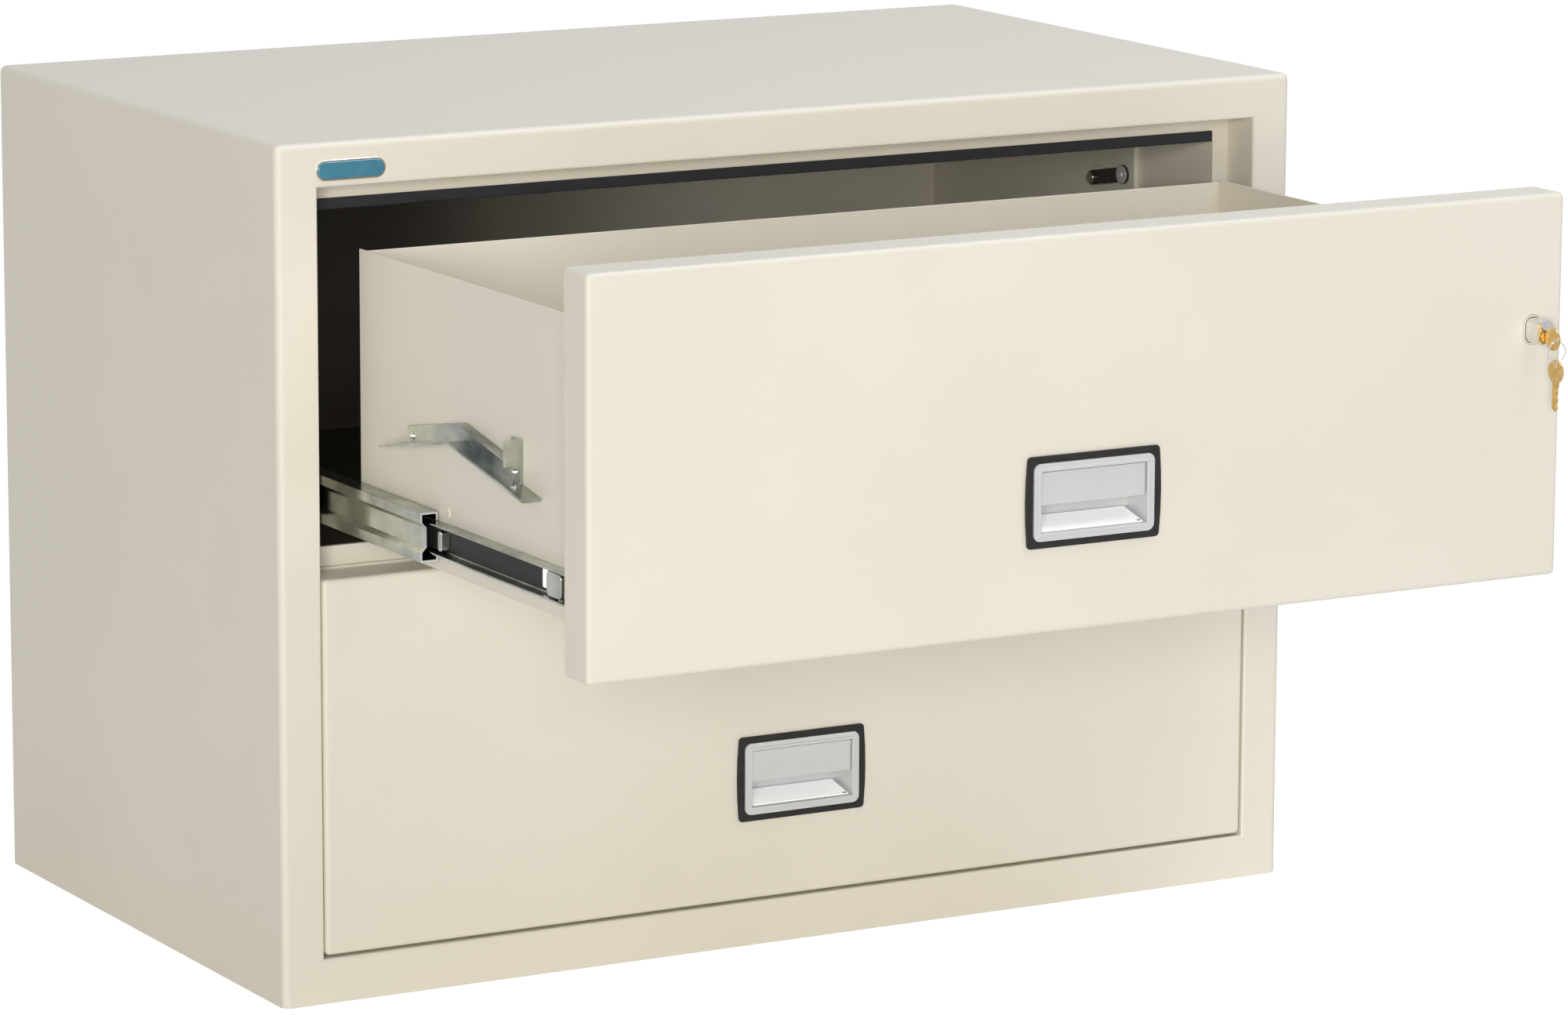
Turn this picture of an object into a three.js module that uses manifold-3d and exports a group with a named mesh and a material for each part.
// Two-drawer lateral filing cabinet with insulated walls.
// Millimetres, X across the front, Y from front to back, Z up, origin at the centre of the base.
// The upper drawer is drawn fully open and the lower one shut.
import * as THREE from "three";
import { mergeVertices } from "three/addons/utils/BufferGeometryUtils.js";
import { RoundedBoxGeometry } from "three/addons/geometries/RoundedBoxGeometry.js";
import Module from "manifold-3d";

// Cabinet
const CABINET_WIDTH = 965;
const CABINET_DEPTH = 559;
const CABINET_HEIGHT = 711;
const CASE_EDGE_RADIUS = 6;
const SHEET = 1.6;
const STILE_WIDTH = 37;
const TOP_RAIL_HEIGHT = 37;
const BOTTOM_RAIL_HEIGHT = 38;
const REVEAL_DEPTH = 40;
const FLANGE_LAP = 6;

// Clearances: pieces that rest on each other, and pieces that run past each other
const SEAT_GAP = 0.3;
const RUN_GAP = 0.5;

// Drawer cavities, measured from the front that closes each one
const CAVITY_STEP_SIDE = 15.5;
const CAVITY_STEP_TOP = 20;
const CAVITY_STEP_BOTTOM = 15;
const CAVITY_BACK_WALL = 44.5;
const GASKET_HEIGHT = 7;
const GASKET_RISE = 2.5;
const GASKET_END_INSET = 17.5;

// Drawer fronts
const FRONT_SIDE_GAP = 3;
const FRONT_GAP = 4;
const FRONT_REAR_GAP = 3;
const FRONT_EDGE_RADIUS = 4.5;
const PLUG_DEPTH = 24;
const PLUG_GAP = 3;
const PLUG_RADIUS = 3;

// Drawer boxes
const DRAWER_TRAVEL = 460;
const SLIDE_SPACE = 20;
const BOX_BACK_GAP = 56;
const BOX_TOP_DROP = 47;
const BOX_BACK_DROP = 2;
const BOX_BOTTOM_RISE = 27;
const FOLDER_RAIL_DEPTH = 14;
const FOLDER_RAIL_HEIGHT = 18;
const FOLDER_RAIL_DROP = 5;

// Slides
const SLIDE_RISE = 55;
const RAIL_SHEET = 1.5;
const DRAWER_RAIL_HEIGHT = 25;
const DRAWER_RAIL_SETBACK = 4;
const MIDDLE_RAIL_LIP = 7;
const MIDDLE_RAIL_BAND = 4;
const MIDDLE_RAIL_BAND_HEIGHT = 16;
const MIDDLE_RAIL_SETBACK = 24;
const CABINET_RAIL_LIP = 2.6;
const CABINET_RAIL_DEPTH = 15;
const CABINET_RAIL_SETBACK = 6;

// Cam brackets on the drawer sides: setbacks are behind the plug, rises above the front's bottom edge
const CAM_SHEET = 2;
const CAM_FLANGE = 17;
const CAM_REAR_SETBACK = 327;
const CAM_PEAK_SETBACK = 205;
const CAM_FRONT_SETBACK = 78;
const CAM_REAR_RISE = 116;
const CAM_PEAK_RISE = 138;
const CAM_FRONT_RISE = 113;
const CAM_WEB = 16;
const CAM_WEB_REAR_INSET = 20;
const CAM_WEB_FRONT_INSET = 32;
const CAM_LUG_WIDTH = 16;
const CAM_LUG_RISE = 21;
const CAM_TOP_FLANGE = 8;

// Interlock brackets and levers on the cavity walls
const PIVOT_SETBACK = 184.5;
const PIVOT_DROP = 55;
const PIVOT_DIAMETER = 6;
const PIVOT_HEAD_DIAMETER = 10;
const PIVOT_HEAD = 1.5;
const LEVER_REACH = 50;
const LEVER_RISE = 9;
const LEVER_WIDTH = 13;
const LEVER_SHEET = 2.5;
const LEVER_DISC_DIAMETER = 17;
const BRACKET_SHEET = 2;
const BRACKET_MARGIN = 4;
const CHANNEL_WIDTH = 32;
const CHANNEL_DEPTH = 5;

// Recessed handles
const HANDLE_RISE = 103;
const BEZEL_SIDE = 5.5;
const BEZEL_RAIL = 5.75;
const BEZEL_BOW = 1.5;
const BEZEL_CORNER = 4;
const BEZEL_PROUD = 2.5;
const CUP_WIDTH = 110;
const CUP_HEIGHT = 61.5;
const CUP_CORNER = 6;
const CUP_PROUD = 3.4;
const CUP_BORDER = 6.5;
const CUP_DEPTH = 26;
const CUP_WALL = 2;
const CUP_FLOOR_RISE = 9;
const PADDLE_HEIGHT = 26;
const PADDLE_SHEET = 3;
const PADDLE_RECESS = 2;
const PADDLE_GAP = 0.8;
const PADDLE_PIN_DIAMETER = 2.4;
const PADDLE_PIN_DROP = 3;

// Push lock on the upper front, with its keys
const LOCK_INSET = 27;
const LOCK_RISE = 202;
const LOCK_WIDTH = 15;
const LOCK_HEIGHT = 20.5;
const LOCK_CORNER = 6;
const LOCK_PROUD = 17;
const LOCK_SINK = 14;
const COLLAR_WALL = 1.2;
const COLLAR_LIP = 0.4;
const COLLAR_DEPTH = 26;
const KEYWAY_DIAMETER = 10;
const KEYWAY_DROP = 3.5;
const KEYWAY_DEPTH = 22;
const KEYWAY_PROUD = 0.8;
const KEY_SHEET = 2;
const KEY_BOW_DIAMETER = 19;
const KEY_HOLE_DIAMETER = 5;
const KEY_HOLE_EDGE = 1.5;
const KEY_BLADE_LENGTH = 23;
const KEY_BLADE_WIDTH = 7;
const KEY_BLADE_IN_LOCK = 18;
const RING_DIAMETER = 17;
const RING_WIRE = 1.2;

// Facets of round shapes
const ROUND_SIDES = 24;
const CORNER_STEPS = 4;
const RING_STEPS = 20;
const WIRE_SIDES = 6;

// Points closer than this are one point
const WELD_DISTANCE = 1e-4;

// Planes and limits that follow from the sizes above
const CASE_X = CABINET_WIDTH / 2;
const FRONT_Y = -CABINET_DEPTH / 2;
const BACK_Y = CABINET_DEPTH / 2;
const OPENING_X = CASE_X - STILE_WIDTH;
const OPENING_TOP = CABINET_HEIGHT - TOP_RAIL_HEIGHT;
const STEP_Y = FRONT_Y + REVEAL_DEPTH;
const CAVITY_X = OPENING_X - CAVITY_STEP_SIDE;
const CAVITY_BACK_Y = BACK_Y - CAVITY_BACK_WALL;
const FRONT_X = OPENING_X - FRONT_SIDE_GAP;
const FRONT_HEIGHT = (OPENING_TOP - BOTTOM_RAIL_HEIGHT - 3 * FRONT_GAP) / 2;
const LOWER_Z = BOTTOM_RAIL_HEIGHT + FRONT_GAP;
const UPPER_Z = LOWER_Z + FRONT_HEIGHT + FRONT_GAP;
const CAVITY_TOP = FRONT_HEIGHT - CAVITY_STEP_TOP;
const PAN_REAR_Y = STEP_Y - FRONT_REAR_GAP;
const PLUG_REAR_Y = PAN_REAR_Y + PLUG_DEPTH;
const BOX_X = CAVITY_X - SLIDE_SPACE;
const BOX_FRONT_Y = PLUG_REAR_Y + SEAT_GAP;
const BOX_REAR_Y = CAVITY_BACK_Y - BOX_BACK_GAP;
const LOCK_X = FRONT_X - LOCK_INSET;
const KEY_Z = LOCK_RISE - KEYWAY_DROP;

const SIDES = [["left", -1], ["right", 1]];

// Finishes
const finish = (color, roughness, metalness) => ({ color, roughness, metalness });
const PUTTY_PAINT = finish("#e6dfcd", 0.42, 0);
const INSULATION = finish("#cfcbc2", 0.95, 0);
const ZINC = finish("#b9bcb6", 0.32, 1);
const DARK_ZINC = finish("#5c5a52", 0.45, 0.8);
const BLACK_RUBBER = finish("#1b1b1f", 0.8, 0);
const BLACK_PLASTIC = finish("#26262a", 0.55, 0);
const SILVER_PLASTIC = finish("#cfd1d3", 0.35, 0.4);
const CHROME = finish("#d9d8d4", 0.1, 1);
const BRASS = finish("#c8a04e", 0.28, 1);

const wasm = await Module();
wasm.setup();

// A closed geometry as a solid that can be cut and joined.
function solid(geometry) {
  const loose = geometry.index ? geometry.toNonIndexed() : geometry;
  const bare = new THREE.BufferGeometry().setAttribute("position", loose.getAttribute("position"));
  const merged = mergeVertices(bare, WELD_DISTANCE);
  const vertProperties = merged.getAttribute("position").array;
  const triVerts = new Uint32Array(merged.index.array);
  return new wasm.Manifold(new wasm.Mesh({ numProp: 3, vertProperties, triVerts }));
}

// The surface of a solid, as a geometry again.
function surface(body) {
  const mesh = body.getMesh();
  const geometry = new THREE.BufferGeometry();
  geometry.setAttribute("position", new THREE.BufferAttribute(mesh.vertProperties, 3));
  geometry.setIndex(new THREE.BufferAttribute(mesh.triVerts, 1));
  const flat = geometry.toNonIndexed();
  flat.computeVertexNormals();
  return flat;
}

function cut(base, ...tools) {
  return surface(tools.reduce((body, tool) => body.subtract(solid(tool)), solid(base)));
}

function join(...bodies) {
  return surface(bodies.map(solid).reduce((body, next) => body.add(next)));
}

// A box between two limits on each axis.
function block(x, y, z) {
  const sides = [x, y, z].map(([a, b]) => Math.abs(b - a));
  const middle = [x, y, z].map(([a, b]) => (a + b) / 2);
  return new THREE.BoxGeometry(...sides).translate(...middle);
}

// A box whose edges are all rounded.
function roundedBlock(x, y, z, radius) {
  const sides = [x, y, z].map(([a, b]) => Math.abs(b - a));
  const middle = [x, y, z].map(([a, b]) => (a + b) / 2);
  return new RoundedBoxGeometry(...sides, CORNER_STEPS / 2, radius).translate(...middle);
}

function polygon(points) {
  return new THREE.Shape(points.map(([u, v]) => new THREE.Vector2(u, v)));
}

// A rectangle with rounded corners, centred on the origin.
function roundedRectangle(width, height, radius) {
  const u = width / 2 - radius;
  const v = height / 2 - radius;
  const quarter = Math.PI / 2;
  const shape = new THREE.Shape();
  shape.absarc(u, v, radius, 0, quarter);
  shape.absarc(-u, v, radius, quarter, 2 * quarter);
  shape.absarc(-u, -v, radius, 2 * quarter, 3 * quarter);
  shape.absarc(u, -v, radius, 3 * quarter, 4 * quarter);
  return shape;
}

// A section in X and Z, drawn out along Y.
function alongY(shape, [from, to], x = 0, z = 0) {
  const depth = to - from;
  const options = { depth, bevelEnabled: false, curveSegments: CORNER_STEPS };
  const geometry = new THREE.ExtrudeGeometry(shape, options);
  return geometry.rotateX(Math.PI / 2).translate(x, to, z);
}

// A section in Y and Z, drawn out along X.
function alongX(shape, [from, to]) {
  const depth = Math.abs(to - from);
  const options = { depth, bevelEnabled: false, curveSegments: CORNER_STEPS };
  const geometry = new THREE.ExtrudeGeometry(shape, options);
  const axes = new THREE.Matrix4().makeBasis(
    new THREE.Vector3(0, 1, 0),
    new THREE.Vector3(0, 0, 1),
    new THREE.Vector3(1, 0, 0),
  );
  return geometry.applyMatrix4(axes).translate(Math.min(from, to), 0, 0);
}

function rodX(diameter, [from, to], y, z) {
  const rod = new THREE.CylinderGeometry(diameter / 2, diameter / 2, Math.abs(to - from), ROUND_SIDES);
  return rod.rotateZ(Math.PI / 2).translate((from + to) / 2, y, z);
}

function rodY(diameter, [from, to], x, z) {
  const rod = new THREE.CylinderGeometry(diameter / 2, diameter / 2, to - from, ROUND_SIDES);
  return rod.translate(x, (from + to) / 2, z);
}

function addPiece(parent, name, geometry, look) {
  const mesh = new THREE.Mesh(geometry, new THREE.MeshStandardMaterial(look));
  mesh.name = name;
  parent.add(mesh);
}

// Cabinet case
const CASE_PAST = 2 * CASE_EDGE_RADIUS;
const SLAB_FRONT_Y = STEP_Y + SHEET + SEAT_GAP;
const SLAB_BACK_Y = BACK_Y - SHEET - SEAT_GAP;
const SLAB_BOTTOM = SHEET + SEAT_GAP;
const LINER_X = CAVITY_X + SHEET;

// The case's outline, drawn in by an inset and running on past the back and the base.
function caseBlock(inset) {
  const radius = Math.max(CASE_EDGE_RADIUS - inset, SEAT_GAP);
  const across = [-CASE_X + inset, CASE_X - inset];
  const deep = [FRONT_Y + inset, BACK_Y + CASE_PAST];
  return roundedBlock(across, deep, [-CASE_PAST, CABINET_HEIGHT - inset], radius);
}

function frontOpening() {
  const deep = [FRONT_Y - CASE_PAST, STEP_Y + CASE_PAST];
  return block([-OPENING_X, OPENING_X], deep, [BOTTOM_RAIL_HEIGHT, OPENING_TOP]);
}

// Trims a piece to the room inside the jacket.
function insideJacket(geometry) {
  return surface(solid(geometry).intersect(solid(caseBlock(SHEET + SEAT_GAP))));
}

// Sides, top and front returns folded from one sheet, open below and behind.
function outerJacket() {
  const wide = [-CABINET_WIDTH, CABINET_WIDTH];
  const below = block(wide, [-CABINET_DEPTH, CABINET_DEPTH], [-2 * CASE_PAST, SEAT_GAP]);
  const behind = block(wide, [BACK_Y, BACK_Y + 2 * CASE_PAST], [-CASE_PAST, CABINET_HEIGHT]);
  return cut(caseBlock(0), caseBlock(SHEET), frontOpening(), below, behind);
}

function faceFrame() {
  const deep = [FRONT_Y, STEP_Y - SEAT_GAP];
  return insideJacket(cut(block([-CASE_X, CASE_X], deep, [SLAB_BOTTOM, CABINET_HEIGHT]), frontOpening()));
}

function backPanel() {
  return insideJacket(block([-CASE_X, CASE_X], [BACK_Y - SHEET, BACK_Y], [0, CABINET_HEIGHT]));
}

function basePan() {
  return insideJacket(block([-CASE_X, CASE_X], [FRONT_Y, SLAB_BACK_Y], [0, SHEET]));
}

function sideInsulation(side) {
  const across = [side * (LINER_X + SEAT_GAP), side * CASE_X];
  return insideJacket(block(across, [SLAB_FRONT_Y, SLAB_BACK_Y], [SLAB_BOTTOM, CABINET_HEIGHT]));
}

// A slab between the side slabs.
function middleInsulation(deep, tall) {
  return insideJacket(block([-LINER_X, LINER_X], deep, tall));
}

function addCase(parent) {
  const lowerFloor = LOWER_Z + CAVITY_STEP_BOTTOM - SHEET;
  const lowerRoof = LOWER_Z + CAVITY_TOP + SHEET;
  const upperFloor = UPPER_Z + CAVITY_STEP_BOTTOM - SHEET;
  const upperRoof = UPPER_Z + CAVITY_TOP + SHEET;
  const deep = [SLAB_FRONT_Y, SLAB_BACK_Y];
  const backDeep = [CAVITY_BACK_Y + SHEET + SEAT_GAP, SLAB_BACK_Y];
  const dividerDeep = [SLAB_FRONT_Y, CAVITY_BACK_Y + SHEET];
  const dividerTall = [lowerRoof + SEAT_GAP, upperFloor - SEAT_GAP];
  const roofTall = [upperRoof + SEAT_GAP, CABINET_HEIGHT];
  const floorTall = [SLAB_BOTTOM, lowerFloor - SEAT_GAP];
  addPiece(parent, "outer_jacket", outerJacket(), PUTTY_PAINT);
  addPiece(parent, "face_frame", faceFrame(), PUTTY_PAINT);
  addPiece(parent, "back_panel", backPanel(), PUTTY_PAINT);
  addPiece(parent, "base_pan", basePan(), PUTTY_PAINT);
  addPiece(parent, "insulation_left", sideInsulation(-1), INSULATION);
  addPiece(parent, "insulation_right", sideInsulation(1), INSULATION);
  addPiece(parent, "insulation_top", middleInsulation(deep, roofTall), INSULATION);
  addPiece(parent, "insulation_bottom", middleInsulation(deep, floorTall), INSULATION);
  addPiece(parent, "insulation_back", middleInsulation(backDeep, [lowerFloor, upperRoof]), INSULATION);
  addPiece(parent, "insulation_divider", middleInsulation(dividerDeep, dividerTall), INSULATION);
}

// Cavities: heights from here on are above the bottom edge of the front that closes the cavity

// A drawer cavity's five walls, with the flange round its mouth between two heights.
function liner(flangeLow, flangeHigh) {
  const outside = block(
    [-LINER_X, LINER_X],
    [STEP_Y, CAVITY_BACK_Y + SHEET],
    [CAVITY_STEP_BOTTOM - SHEET, CAVITY_TOP + SHEET],
  );
  const flangeX = OPENING_X + FLANGE_LAP;
  const flange = block([-flangeX, flangeX], [STEP_Y, STEP_Y + SHEET], [flangeLow, flangeHigh]);
  const mouth = [STEP_Y - SHEET, CAVITY_BACK_Y];
  const inside = block([-CAVITY_X, CAVITY_X], mouth, [CAVITY_STEP_BOTTOM, CAVITY_TOP]);
  return cut(join(outside, flange), inside);
}

function gasket() {
  const reach = OPENING_X - GASKET_END_INSET;
  const deep = [PAN_REAR_Y + SEAT_GAP, STEP_Y - SEAT_GAP];
  const low = CAVITY_TOP + GASKET_RISE;
  return block([-reach, reach], deep, [low, low + GASKET_HEIGHT]);
}

// Rail section: a web with two lipped flanges, and a band pressed into the web where band isn't zero.
function railSection(side, web, tip, lip, lipWidth, band, bandHalf) {
  const half = lip + lipWidth;
  const inner = web - RAIL_SHEET;
  const lipInner = tip + RAIL_SHEET;
  const rise = half - RAIL_SHEET;
  const bandFoot = bandHalf + band;
  const outerBand = [[web, -bandFoot], [web - band, -bandHalf], [web - band, bandHalf], [web, bandFoot]];
  const innerBand = outerBand.map(([x, z]) => [x - RAIL_SHEET, z]).reverse();
  const points = [[tip, -half], [web, -half]];
  if (band > 0) points.push(...outerBand);
  points.push([web, half], [tip, half], [tip, lip], [lipInner, lip], [lipInner, rise], [inner, rise]);
  if (band > 0) points.push(...innerBand);
  points.push([inner, -rise], [lipInner, -rise], [lipInner, -lip], [tip, -lip]);
  return polygon(points.map(([x, z]) => [side * x, z + SLIDE_RISE]));
}

// The slides nest: drawer rail inside middle rail, middle rail inside cabinet rail.
const MIDDLE_LIP_HALF = DRAWER_RAIL_HEIGHT / 2 + RUN_GAP;
const CABINET_LIP_HALF = MIDDLE_LIP_HALF + MIDDLE_RAIL_LIP + RUN_GAP;
const CABINET_WEB_X = CAVITY_X - SEAT_GAP;
const MIDDLE_WEB_X = CABINET_WEB_X - RAIL_SHEET - RUN_GAP;
const MIDDLE_TIP_X = BOX_X + SEAT_GAP + RAIL_SHEET + RUN_GAP;
const DRAWER_TIP_X = MIDDLE_WEB_X - MIDDLE_RAIL_BAND - RAIL_SHEET - RUN_GAP;

function cabinetRail(side) {
  const tip = CABINET_WEB_X - CABINET_RAIL_DEPTH;
  const section = railSection(side, CABINET_WEB_X, tip, CABINET_LIP_HALF, CABINET_RAIL_LIP, 0, 0);
  return alongY(section, [PLUG_REAR_Y + CABINET_RAIL_SETBACK, BOX_REAR_Y]);
}

function middleRail(side) {
  const bandHalf = MIDDLE_RAIL_BAND_HEIGHT / 2;
  const lip = [MIDDLE_LIP_HALF, MIDDLE_RAIL_LIP];
  const section = railSection(side, MIDDLE_WEB_X, MIDDLE_TIP_X, ...lip, MIDDLE_RAIL_BAND, bandHalf);
  return alongY(section, [PLUG_REAR_Y + MIDDLE_RAIL_SETBACK, BOX_REAR_Y]);
}

function drawerRail(side) {
  const web = BOX_X + SEAT_GAP;
  const inner = web + RAIL_SHEET;
  const half = DRAWER_RAIL_HEIGHT / 2;
  const rise = half - RAIL_SHEET;
  const lower = [[web, -half], [DRAWER_TIP_X, -half], [DRAWER_TIP_X, -rise], [inner, -rise]];
  const upper = lower.map(([x, z]) => [x, -z]).reverse();
  const section = polygon([...lower, ...upper].map(([x, z]) => [side * x, z + SLIDE_RISE]));
  return alongY(section, [BOX_FRONT_Y + DRAWER_RAIL_SETBACK, BOX_REAR_Y - DRAWER_RAIL_SETBACK]);
}

// Interlock: an upright channel and plate on the cavity wall, and a lever that pivots on its headed pin.
const PIVOT_Y = STEP_Y + PIVOT_SETBACK;
const PIVOT_Z = CAVITY_TOP - PIVOT_DROP;
const DISC_Y = PIVOT_Y - LEVER_REACH;
const DISC_Z = PIVOT_Z + LEVER_RISE;
const LEVER_OUTER_X = CAVITY_X - SEAT_GAP - CHANNEL_DEPTH - RUN_GAP;
const LEVER_INNER_X = LEVER_OUTER_X - LEVER_SHEET;

function interlockBracket(side) {
  const wall = side * (CAVITY_X - SEAT_GAP);
  const plateX = [wall, wall - side * BRACKET_SHEET];
  const head = side * (LEVER_INNER_X - RUN_GAP);
  const low = PIVOT_Z - LEVER_WIDTH / 2 - BRACKET_MARGIN;
  const high = PIVOT_Z + LEVER_WIDTH / 2 + BRACKET_MARGIN;
  const rear = PIVOT_Y + LEVER_WIDTH / 2 + BRACKET_MARGIN;
  const channelY = [DISC_Y - CHANNEL_WIDTH / 2, DISC_Y + CHANNEL_WIDTH / 2];
  return join(
    block(plateX, [DISC_Y, rear], [low, high]),
    block([wall, wall - side * CHANNEL_DEPTH], channelY, [low, CAVITY_TOP - RUN_GAP]),
    rodX(PIVOT_DIAMETER, [wall, head], PIVOT_Y, PIVOT_Z),
    rodX(PIVOT_HEAD_DIAMETER, [head, head - side * PIVOT_HEAD], PIVOT_Y, PIVOT_Z),
  );
}

function interlockLever(side) {
  const thick = [side * LEVER_INNER_X, side * LEVER_OUTER_X];
  const length = Math.hypot(LEVER_REACH, LEVER_RISE);
  const along = [-LEVER_REACH / length, LEVER_RISE / length];
  const half = LEVER_WIDTH / 2;
  const corner = (end, edge) => [
    PIVOT_Y + end * length * along[0] - edge * half * along[1],
    PIVOT_Z + end * length * along[1] + edge * half * along[0],
  ];
  const bar = polygon([corner(0, -1), corner(1, -1), corner(1, 1), corner(0, 1)]);
  const plate = join(
    alongX(bar, thick),
    rodX(LEVER_WIDTH, thick, PIVOT_Y, PIVOT_Z),
    rodX(LEVER_DISC_DIAMETER, thick, DISC_Y, DISC_Z),
  );
  const past = [side * (LEVER_INNER_X - LEVER_SHEET), side * (LEVER_OUTER_X + LEVER_SHEET)];
  return cut(plate, rodX(PIVOT_DIAMETER + 2 * SEAT_GAP, past, PIVOT_Y, PIVOT_Z));
}

function addCavity(parent, level, z, flangeLow, flangeHigh) {
  const cavity = new THREE.Group();
  cavity.position.z = z;
  parent.add(cavity);
  addPiece(cavity, `${level}_liner`, liner(flangeLow, flangeHigh), PUTTY_PAINT);
  addPiece(cavity, `${level}_gasket`, gasket(), BLACK_RUBBER);
  for (const [name, side] of SIDES) {
    addPiece(cavity, `${level}_cabinet_rail_${name}`, cabinetRail(side), ZINC);
    addPiece(cavity, `${level}_interlock_bracket_${name}`, interlockBracket(side), PUTTY_PAINT);
    addPiece(cavity, `${level}_interlock_lever_${name}`, interlockLever(side), DARK_ZINC);
  }
}

// Drawer fronts
const PLUG_X = CAVITY_X - PLUG_GAP;
const PLUG_BOTTOM = CAVITY_STEP_BOTTOM + PLUG_GAP;
const PLUG_TOP = CAVITY_TOP - PLUG_GAP;
const RECESS_X = CUP_WIDTH / 2 - CUP_BORDER;
const RECESS_HALF = CUP_HEIGHT / 2 - CUP_BORDER;

// The front's outline, drawn in by an inset and cut off square at a depth.
function frontBlock(inset, rear) {
  const past = rear + 2 * FRONT_EDGE_RADIUS;
  const radius = Math.max(FRONT_EDGE_RADIUS - inset, SEAT_GAP);
  const across = [-FRONT_X + inset, FRONT_X - inset];
  const whole = roundedBlock(across, [FRONT_Y + inset, past], [inset, FRONT_HEIGHT - inset], radius);
  return cut(whole, block([-CASE_X, CASE_X], [rear, past + SHEET], [-SHEET, FRONT_HEIGHT + SHEET]));
}

// The step of the front that enters the cavity mouth, drawn in by an inset.
function plugBlock(inset, from) {
  const width = 2 * (PLUG_X - inset);
  const height = PLUG_TOP - PLUG_BOTTOM - 2 * inset;
  const shape = roundedRectangle(width, height, Math.max(PLUG_RADIUS - inset, SEAT_GAP));
  return alongY(shape, [from, PLUG_REAR_Y - inset], 0, (PLUG_TOP + PLUG_BOTTOM) / 2);
}

// Room for the handle's tub and the lock's collar.
function handleHole() {
  const x = RECESS_X + CUP_WALL + SEAT_GAP;
  const half = RECESS_HALF + CUP_WALL + SEAT_GAP;
  const rear = FRONT_Y + CUP_DEPTH + CUP_WALL + SEAT_GAP;
  return block([-x, x], [FRONT_Y - CUP_DEPTH, rear], [HANDLE_RISE - half, HANDLE_RISE + half]);
}

function lockSection(inset) {
  return roundedRectangle(LOCK_WIDTH + 2 * inset, LOCK_HEIGHT + 2 * inset, LOCK_CORNER + inset);
}

function lockHole() {
  const deep = [FRONT_Y - COLLAR_DEPTH, FRONT_Y + COLLAR_DEPTH + SEAT_GAP];
  return alongY(lockSection(RUN_GAP + COLLAR_WALL + SEAT_GAP), deep, LOCK_X, LOCK_RISE);
}

function frontPan(holes) {
  return cut(frontBlock(0, PAN_REAR_Y), frontBlock(SHEET, PAN_REAR_Y + SHEET), ...holes);
}

function frontCore(holes) {
  const inset = SHEET + SEAT_GAP;
  const slab = frontBlock(inset, PAN_REAR_Y - inset);
  return cut(join(slab, plugBlock(inset, PAN_REAR_Y - 2 * inset)), ...holes);
}

// Inner pan: a rim inside the outer pan, and the plug drawn out of it, hollow towards the core.
function frontPlug() {
  const front = PAN_REAR_Y - SHEET;
  const ahead = block([-CASE_X, CASE_X], [FRONT_Y - SHEET, front], [-SHEET, FRONT_HEIGHT + SHEET]);
  const rim = cut(frontBlock(SHEET + SEAT_GAP, PAN_REAR_Y), ahead);
  return cut(join(rim, plugBlock(0, front)), plugBlock(SHEET, front - SHEET));
}

// Drawer boxes
function drawerBox() {
  const top = FRONT_HEIGHT - BOX_TOP_DROP;
  const inner = BOX_X - SHEET;
  const outside = block([-BOX_X, BOX_X], [BOX_FRONT_Y, BOX_REAR_Y], [BOX_BOTTOM_RISE, top]);
  const deep = [BOX_FRONT_Y + SHEET, BOX_REAR_Y - SHEET];
  const inside = block([-inner, inner], deep, [BOX_BOTTOM_RISE + SHEET, top + SHEET]);
  const backDeep = [BOX_REAR_Y - 2 * SHEET, BOX_REAR_Y + SHEET];
  const overBack = block([-inner, inner], backDeep, [top - BOX_BACK_DROP, top + SHEET]);
  return cut(outside, inside, overBack);
}

// A trough along the front wall whose free edge takes the folder hooks.
function folderRail() {
  const y = BOX_FRONT_Y + SHEET + SEAT_GAP;
  const z = FRONT_HEIGHT - BOX_TOP_DROP - FOLDER_RAIL_DROP - FOLDER_RAIL_HEIGHT;
  const deep = FOLDER_RAIL_DEPTH;
  const high = FOLDER_RAIL_HEIGHT;
  const lip = deep - RAIL_SHEET;
  const section = [[0, 0], [deep, 0], [deep, high], [lip, high], [lip, RAIL_SHEET]];
  section.push([RAIL_SHEET, RAIL_SHEET], [RAIL_SHEET, high], [0, high]);
  const reach = BOX_X - SHEET - SEAT_GAP;
  return alongX(polygon(section.map(([u, v]) => [y + u, z + v])), [-reach, reach]);
}

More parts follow.
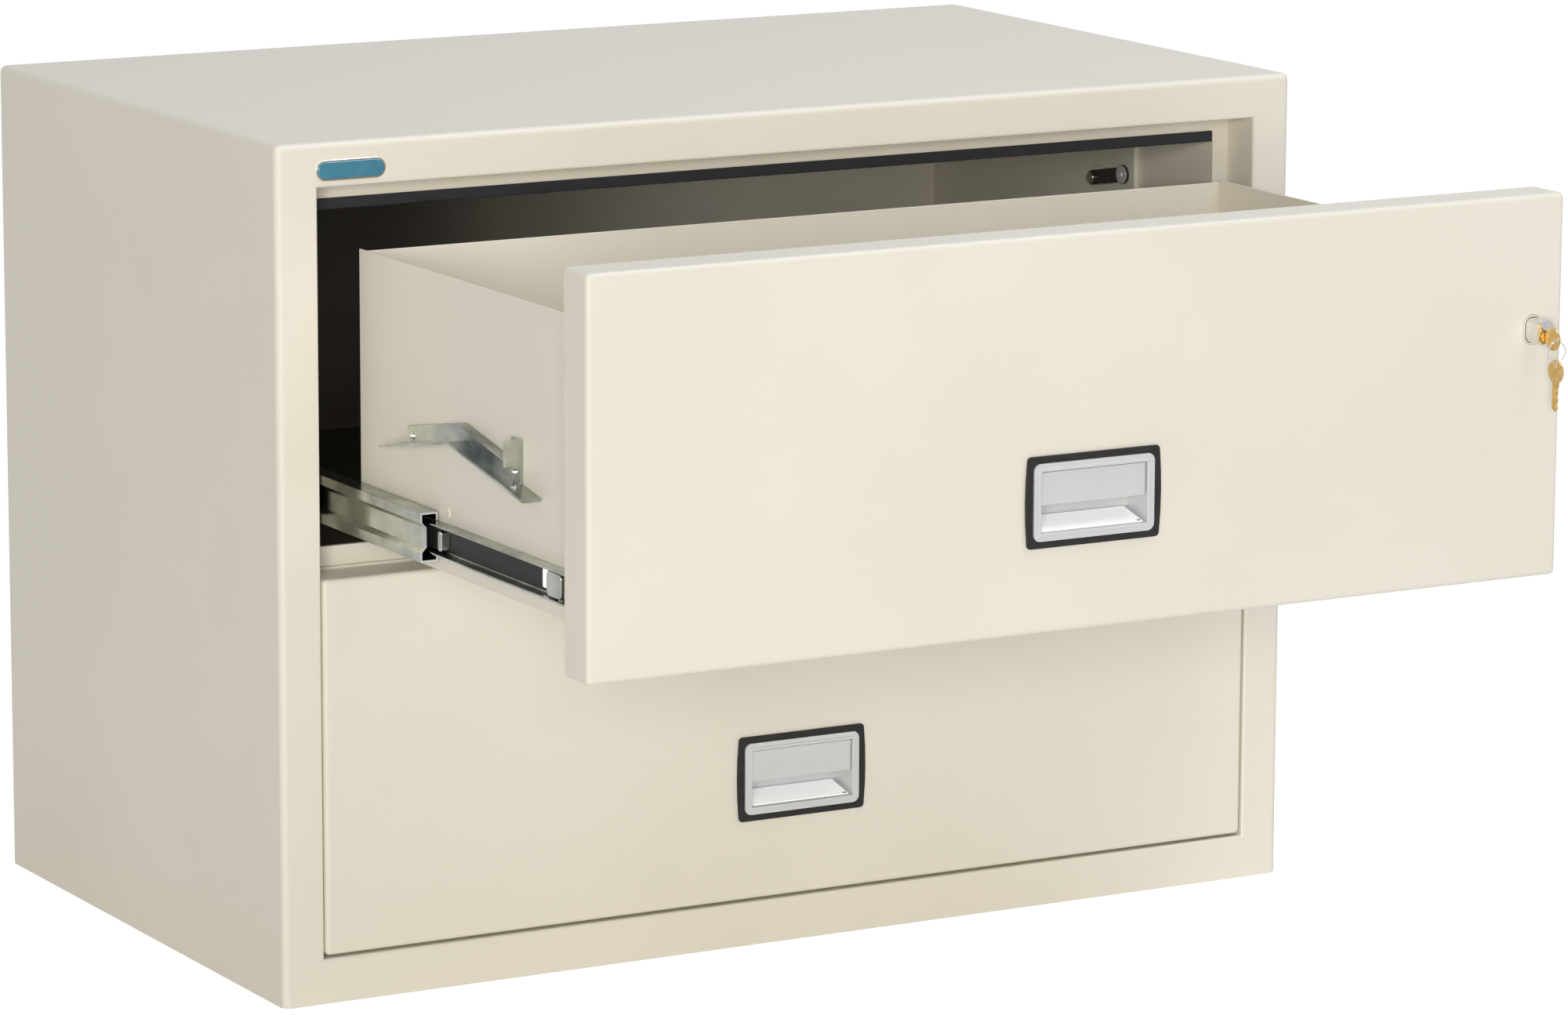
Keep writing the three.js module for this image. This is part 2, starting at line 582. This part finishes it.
// Roof-shaped strip on the drawer side: a flange that the interlock rides on, a web above it,
// a narrow flange along the web's front slope and a bent lug at its end.
function camBracket(side) {
  const rear = PLUG_REAR_Y + CAM_REAR_SETBACK;
  const peak = PLUG_REAR_Y + CAM_PEAK_SETBACK;
  const front = PLUG_REAR_Y + CAM_FRONT_SETBACK;
  const rearSlope = (CAM_PEAK_RISE - CAM_REAR_RISE) / (peak - rear);
  const frontSlope = (CAM_PEAK_RISE - CAM_FRONT_RISE) / (peak - front);
  const webRear = rear - CAM_WEB_REAR_INSET;
  const webFront = front + CAM_WEB_FRONT_INSET;
  const webRearRise = CAM_REAR_RISE + rearSlope * (webRear - rear);
  const webFrontRise = CAM_FRONT_RISE + frontSlope * (webFront - front);
  const strip = (line, height) => polygon([...line, ...line.map(([y, z]) => [y, z + height]).reverse()]);
  const roof = [[rear, CAM_REAR_RISE], [peak, CAM_PEAK_RISE], [front, CAM_FRONT_RISE]];
  const web = [[webRear, webRearRise], [peak, CAM_PEAK_RISE], [webFront, webFrontRise]];
  const frontWeb = web.slice(1).map(([y, z]) => [y, z + CAM_WEB - CAM_SHEET]);
  const seat = side * (BOX_X + SEAT_GAP);
  const lugFoot = webFrontRise + CAM_SHEET;
  const lugTop = webFrontRise + CAM_WEB + CAM_LUG_RISE;
  const lugDeep = [webFront, webFront + CAM_SHEET];
  return join(
    alongX(strip(roof, CAM_SHEET), [seat, seat + side * CAM_FLANGE]),
    alongX(strip(web, CAM_WEB), [seat, seat + side * CAM_SHEET]),
    alongX(strip(frontWeb, CAM_SHEET), [seat, seat + side * CAM_TOP_FLANGE]),
    block([seat, seat + side * CAM_SHEET], [webFront, webFront + CAM_LUG_WIDTH], [lugFoot, lugTop]),
    block([seat, seat + side * CAM_LUG_WIDTH], lugDeep, [lugTop - CAM_LUG_RISE, lugTop]),
  );
}

// Recessed handle: a bowed bezel, a cup with a sloping floor and a pull paddle on two pins
const PADDLE_FRONT_Y = FRONT_Y - CUP_PROUD + PADDLE_RECESS;
const PADDLE_TOP = HANDLE_RISE + RECESS_HALF - PADDLE_GAP;
const PIN_Y = PADDLE_FRONT_Y + PADDLE_SHEET / 2;
const PIN_Z = PADDLE_TOP - PADDLE_PIN_DROP;

function handleBezel() {
  const x = CUP_WIDTH / 2 + BEZEL_SIDE;
  const z = CUP_HEIGHT / 2 + BEZEL_RAIL;
  const bowed = x + 2 * BEZEL_BOW;
  const shape = new THREE.Shape();
  shape.moveTo(-x + BEZEL_CORNER, -z);
  shape.lineTo(x - BEZEL_CORNER, -z);
  shape.quadraticCurveTo(x, -z, x, -z + BEZEL_CORNER);
  shape.quadraticCurveTo(bowed, 0, x, z - BEZEL_CORNER);
  shape.quadraticCurveTo(x, z, x - BEZEL_CORNER, z);
  shape.lineTo(-x + BEZEL_CORNER, z);
  shape.quadraticCurveTo(-x, z, -x, z - BEZEL_CORNER);
  shape.quadraticCurveTo(-bowed, 0, -x, -z + BEZEL_CORNER);
  shape.quadraticCurveTo(-x, -z, -x + BEZEL_CORNER, -z);
  shape.holes.push(roundedRectangle(CUP_WIDTH + 2 * SEAT_GAP, CUP_HEIGHT + 2 * SEAT_GAP, CUP_CORNER));
  return alongY(shape, [FRONT_Y - BEZEL_PROUD, FRONT_Y - SEAT_GAP], 0, HANDLE_RISE);
}

function handleCup() {
  const x = RECESS_X + CUP_WALL;
  const half = RECESS_HALF + CUP_WALL;
  const face = FRONT_Y - CUP_PROUD;
  const ahead = face - CUP_PROUD;
  const rear = FRONT_Y + CUP_DEPTH;
  const top = HANDLE_RISE + RECESS_HALF;
  const bottom = HANDLE_RISE - RECESS_HALF;
  const section = roundedRectangle(CUP_WIDTH, CUP_HEIGHT, CUP_CORNER);
  const flange = alongY(section, [face, FRONT_Y - SEAT_GAP], 0, HANDLE_RISE);
  const tub = block([-x, x], [face + SEAT_GAP, rear + CUP_WALL], [HANDLE_RISE - half, HANDLE_RISE + half]);
  const floor = bottom + CUP_FLOOR_RISE;
  const recess = [[ahead, top], [rear, top], [rear, floor], [face, bottom], [ahead, bottom]];
  const pinRoom = rodX(PADDLE_PIN_DIAMETER + 2 * SEAT_GAP, [-x - CUP_WALL, x + CUP_WALL], PIN_Y, PIN_Z);
  return cut(join(flange, tub), alongX(polygon(recess), [-RECESS_X, RECESS_X]), pinRoom);
}

function handlePaddle() {
  const x = RECESS_X - PADDLE_GAP;
  const reach = RECESS_X + CUP_WALL - SEAT_GAP;
  const deep = [PADDLE_FRONT_Y, PADDLE_FRONT_Y + PADDLE_SHEET];
  const flap = block([-x, x], deep, [PADDLE_TOP - PADDLE_HEIGHT, PADDLE_TOP]);
  return join(flap, rodX(PADDLE_PIN_DIAMETER, [-reach, reach], PIN_Y, PIN_Z));
}

// Push lock and keys
const LOCK_FACE_Y = FRONT_Y - LOCK_PROUD;
const KEYWAY_FACE_Y = LOCK_FACE_Y - KEYWAY_PROUD;
const BOW_RADIUS = KEY_BOW_DIAMETER / 2;
const BOW_Y = KEYWAY_FACE_Y - SEAT_GAP - BOW_RADIUS;
const HOLE_OFFSET = BOW_RADIUS - KEY_HOLE_EDGE - KEY_HOLE_DIAMETER / 2;
const HANG = KEY_HOLE_DIAMETER / 2 - RING_WIRE / 2 - SEAT_GAP;
const HANG_Y = BOW_Y - HOLE_OFFSET;
const RING_TOP_Z = KEY_Z - HANG;
const RING_BOTTOM_Z = RING_TOP_Z - RING_DIAMETER;
const SPARE_Z = RING_BOTTOM_Z - HANG - HOLE_OFFSET;

function lockCollar() {
  const section = lockSection(RUN_GAP + COLLAR_WALL);
  section.holes.push(lockSection(RUN_GAP));
  return alongY(section, [FRONT_Y - COLLAR_LIP, FRONT_Y + COLLAR_DEPTH], LOCK_X, LOCK_RISE);
}

function lockPlunger() {
  const barrel = alongY(lockSection(0), [LOCK_FACE_Y, FRONT_Y + LOCK_SINK], LOCK_X, LOCK_RISE);
  const bore = [KEYWAY_FACE_Y - KEYWAY_PROUD, LOCK_FACE_Y + KEYWAY_DEPTH + SEAT_GAP];
  return cut(barrel, rodY(KEYWAY_DIAMETER + 2 * SEAT_GAP, bore, LOCK_X, KEY_Z));
}

function lockPlug() {
  const thick = KEY_SHEET / 2 + SEAT_GAP;
  const high = KEY_BLADE_WIDTH / 2 + SEAT_GAP;
  const deep = [KEYWAY_FACE_Y - KEYWAY_PROUD, LOCK_FACE_Y + KEY_BLADE_IN_LOCK + SEAT_GAP];
  const slot = block([LOCK_X - thick, LOCK_X + thick], deep, [KEY_Z - high, KEY_Z + high]);
  return cut(rodY(KEYWAY_DIAMETER, [KEYWAY_FACE_Y, LOCK_FACE_Y + KEYWAY_DEPTH], LOCK_X, KEY_Z), slot);
}

// A flat key: a round bow with a hole near its edge, both given by their centres in Y and Z, and a blade.
function flatKey(bow, hole, bladeY, bladeZ) {
  const thick = [LOCK_X - KEY_SHEET / 2, LOCK_X + KEY_SHEET / 2];
  const past = [LOCK_X - KEY_SHEET, LOCK_X + KEY_SHEET];
  const body = join(rodX(KEY_BOW_DIAMETER, thick, ...bow), block(thick, bladeY, bladeZ));
  return cut(body, rodX(KEY_HOLE_DIAMETER, past, ...hole));
}

function lockKey() {
  const bladeY = [BOW_Y, LOCK_FACE_Y + KEY_BLADE_IN_LOCK];
  const bladeZ = [KEY_Z - KEY_BLADE_WIDTH / 2, KEY_Z + KEY_BLADE_WIDTH / 2];
  return flatKey([BOW_Y, KEY_Z], [HANG_Y, KEY_Z], bladeY, bladeZ);
}

function spareKey() {
  const bladeY = [HANG_Y - KEY_BLADE_WIDTH / 2, HANG_Y + KEY_BLADE_WIDTH / 2];
  const bladeZ = [SPARE_Z - BOW_RADIUS - KEY_BLADE_LENGTH, SPARE_Z];
  return flatKey([HANG_Y, SPARE_Z], [HANG_Y, SPARE_Z + HOLE_OFFSET], bladeY, bladeZ);
}

function keyRing() {
  const ring = new THREE.TorusGeometry(RING_DIAMETER / 2, RING_WIRE / 2, WIRE_SIDES, RING_STEPS);
  return ring.rotateX(Math.PI / 2).translate(LOCK_X, HANG_Y, RING_TOP_Z - RING_DIAMETER / 2);
}

function addLock(parent) {
  addPiece(parent, "lock_collar", lockCollar(), CHROME);
  addPiece(parent, "lock_plunger", lockPlunger(), CHROME);
  addPiece(parent, "lock_plug", lockPlug(), BRASS);
  addPiece(parent, "lock_key", lockKey(), BRASS);
  addPiece(parent, "key_ring", keyRing(), ZINC);
  addPiece(parent, "spare_key", spareKey(), BRASS);
}

// Adds a drawer and its middle rails, drawn out by a distance; the middle rails run half as far.
function addDrawer(parent, level, z, drawnOut, holes) {
  const drawer = new THREE.Group();
  drawer.position.set(0, -drawnOut, z);
  const runners = new THREE.Group();
  runners.position.set(0, -drawnOut / 2, z);
  parent.add(drawer, runners);
  addPiece(drawer, `${level}_front_pan`, frontPan(holes), PUTTY_PAINT);
  addPiece(drawer, `${level}_front_core`, frontCore(holes), INSULATION);
  addPiece(drawer, `${level}_front_plug`, frontPlug(), PUTTY_PAINT);
  addPiece(drawer, `${level}_drawer_box`, drawerBox(), PUTTY_PAINT);
  addPiece(drawer, `${level}_folder_rail`, folderRail(), PUTTY_PAINT);
  addPiece(drawer, `${level}_handle_bezel`, handleBezel(), BLACK_PLASTIC);
  addPiece(drawer, `${level}_handle_cup`, handleCup(), SILVER_PLASTIC);
  addPiece(drawer, `${level}_handle_paddle`, handlePaddle(), SILVER_PLASTIC);
  for (const [name, side] of SIDES) {
    addPiece(drawer, `${level}_drawer_rail_${name}`, drawerRail(side), ZINC);
    addPiece(drawer, `${level}_cam_bracket_${name}`, camBracket(side), ZINC);
    addPiece(runners, `${level}_middle_rail_${name}`, middleRail(side), ZINC);
  }
  return drawer;
}

// The whole cabinet
const cabinet = new THREE.Group();
const BETWEEN = FRONT_GAP / 2;
const OVERLAP = FRONT_GAP + FLANGE_LAP;
addCase(cabinet);
addCavity(cabinet, "upper", UPPER_Z, SEAT_GAP - BETWEEN, FRONT_HEIGHT + OVERLAP);
addCavity(cabinet, "lower", LOWER_Z, -OVERLAP, FRONT_HEIGHT + BETWEEN - SEAT_GAP);
const upperDrawer = addDrawer(cabinet, "upper", UPPER_Z, DRAWER_TRAVEL, [handleHole(), lockHole()]);
addDrawer(cabinet, "lower", LOWER_Z, 0, [handleHole()]);
addLock(upperDrawer);

export default cabinet;
